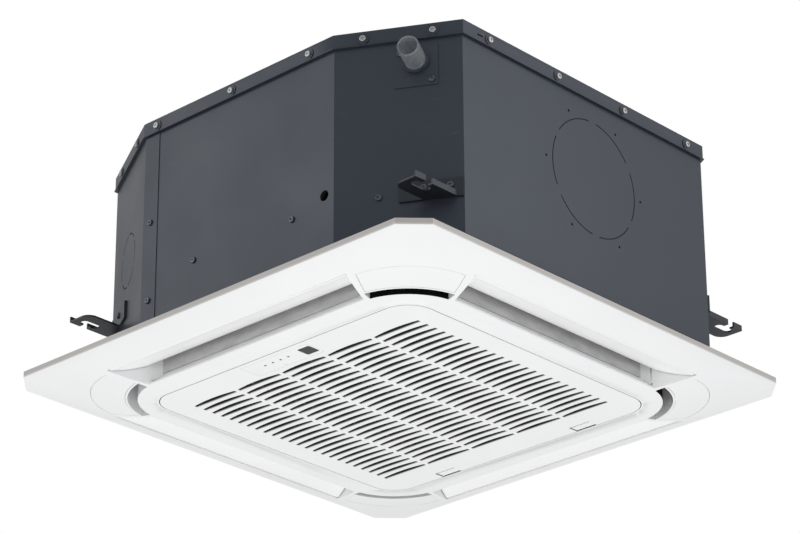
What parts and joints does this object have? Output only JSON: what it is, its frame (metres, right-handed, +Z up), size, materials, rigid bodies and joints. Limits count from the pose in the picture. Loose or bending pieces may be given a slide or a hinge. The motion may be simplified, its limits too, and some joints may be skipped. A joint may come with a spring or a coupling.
{
  "type": "ceiling cassette air conditioner",
  "caption": "Ceiling cassette air conditioner: a boxed casing with hanging hooks above a square panel with swinging louvres and a hinged slotted intake grille.",
  "frame": {"origin": "middle of the intake grille's face, the lowest face of the unit", "axes": "+Z up, +X along the display side, -Y towards the grille's hinge side"},
  "size_m": [0.647, 0.647, 0.3145],
  "materials": {
    "white_plastic": "fine satin moulded skin",
    "slate_coat": "dark slate powder coat",
    "galvanised": "plain galvanised sheet",
    "screw_steel": "zinc plated",
    "foam": "closed-cell foam",
    "pan_foam": "moulded foam with a plastic skin",
    "clear_tube": "clear plastic",
    "grey_plastic": "satin",
    "dark_plastic": "matt",
    "grey_felt": "thin felt",
    "fin_aluminium": "thin fins",
    "copper": "bare copper",
    "brass": "turned brass",
    "fan_plastic": "satin",
    "shaft_steel": "ground",
    "rubber": "matt",
    "board_green": "lacquered board",
    "lamp_lens": "tinted lens",
    "receiver_dark": "dark tinted window",
    "mesh_plastic": "fine net",
    "cream_plastic": "satin"
  },
  "bodies": {
    "unit": {"air_guide": "white_plastic", "outlet_walls": "white_plastic", "bell_mouth": "dark_plastic", "casing_front": "slate_coat", "casing_left": "slate_coat", "casing_rear": "slate_coat", "circuit_board": "board_green", "coil_end_plates": "galvanised", "coil_fins": "fin_aluminium", "coil_tubes": "copper", "control_box": "galvanised", "control_cover": "galvanised", "corner_lids": "white_plastic", "drain_hose": "grey_plastic", "drain_pan": "pan_foam", "drain_plate": "slate_coat", "drain_pump": "cream_plastic", "drain_tube": "clear_tube", "duct_liners": "grey_felt", "float_guide": "cream_plastic", "foam_liner": "foam", "gas_pipe": "copper", "hanging_hooks": "slate_coat", "liquid_pipe": "copper", "louvre_motors": "cream_plastic", "motor_bearings": "shaft_steel", "motor_bracket": "galvanised", "motor_case": "dark_plastic", "motor_mounts": "rubber", "pan_base": "pan_foam", "panel_frame": "white_plastic", "panel_screws": "screw_steel", "panel_seal": "foam", "pipe_plate": "slate_coat", "pipe_unions": "brass", "rim_screws": "screw_steel", "side_screws": "screw_steel", "terminal_block": "dark_plastic", "top_plate": "slate_coat"},
    "fan": {"fan_wheel": "fan_plastic", "fan_blades": "fan_plastic", "fan_shroud": "fan_plastic", "fan_nut": "screw_steel", "motor_shaft": "shaft_steel"},
    "louvre_front": {"louvre_front": "white_plastic"},
    "louvre_right": {"louvre_right": "white_plastic"},
    "louvre_back": {"louvre_back": "white_plastic"},
    "louvre_left": {"louvre_left": "white_plastic"},
    "grille": {"intake_grille": "white_plastic", "hinge_pins": "screw_steel", "display_insert": "white_plastic", "lamp_lenses": "lamp_lens", "receiver_lens": "receiver_dark"},
    "filter": {"filter_frame": "grey_plastic", "filter_mesh": "mesh_plastic"},
    "latch_left": {"latch_left": "white_plastic"},
    "latch_right": {"latch_right": "white_plastic"},
    "button": {"manual_button": "white_plastic"},
    "float": {"float": "cream_plastic"},
    "impeller": {"pump_impeller": "grey_plastic"}
  },
  "joints": [
    {"name": "fan_spin", "type": "hinge", "parent": "unit", "child": "fan", "pos_m": [0, 0, 0.25], "axis": [0, 0, 1], "continuous": true},
    {"name": "louvre_front_swing", "type": "hinge", "parent": "unit", "child": "louvre_front", "pos_m": [0, -0.2843, 0.014], "axis": [1, 0, 0], "range_deg": [-30, 20]},
    {"name": "louvre_right_swing", "type": "hinge", "parent": "unit", "child": "louvre_right", "pos_m": [0.2843, 0, 0.014], "axis": [0, 1, 0], "range_deg": [-30, 20]},
    {"name": "louvre_back_swing", "type": "hinge", "parent": "unit", "child": "louvre_back", "pos_m": [0, 0.2843, 0.014], "axis": [-1, 0, 0], "range_deg": [-30, 20]},
    {"name": "louvre_left_swing", "type": "hinge", "parent": "unit", "child": "louvre_left", "pos_m": [-0.2843, 0, 0.014], "axis": [0, -1, 0], "range_deg": [-30, 20]},
    {"name": "grille_hinge", "type": "hinge", "parent": "unit", "child": "grille", "pos_m": [0, -0.1802, 0.0025], "axis": [-1, 0, 0], "range_deg": [0, 90]},
    {"name": "filter_lift", "type": "slide", "parent": "grille", "child": "filter", "axis": [0, 0, 1], "range_m": [0, 0.012]},
    {"name": "latch_left_slide", "type": "slide", "parent": "grille", "child": "latch_left", "axis": [0, 1, 0], "range_m": [0, 0.0032]},
    {"name": "latch_right_slide", "type": "slide", "parent": "grille", "child": "latch_right", "axis": [0, 1, 0], "range_m": [0, 0.0032]},
    {"name": "button_press", "type": "slide", "parent": "grille", "child": "button", "axis": [0, 0, 1], "range_m": [0, 0.0015], "stiffness_N_per_m": 300, "springref_m": -0.0005},
    {"name": "float_lift", "type": "slide", "parent": "unit", "child": "float", "axis": [0, 0, 1], "range_m": [0, 0.012]},
    {"name": "impeller_spin", "type": "hinge", "parent": "unit", "child": "impeller", "pos_m": [0.22808, -0.20367, 0.085], "axis": [0, 0, 1], "continuous": true}
  ]
}
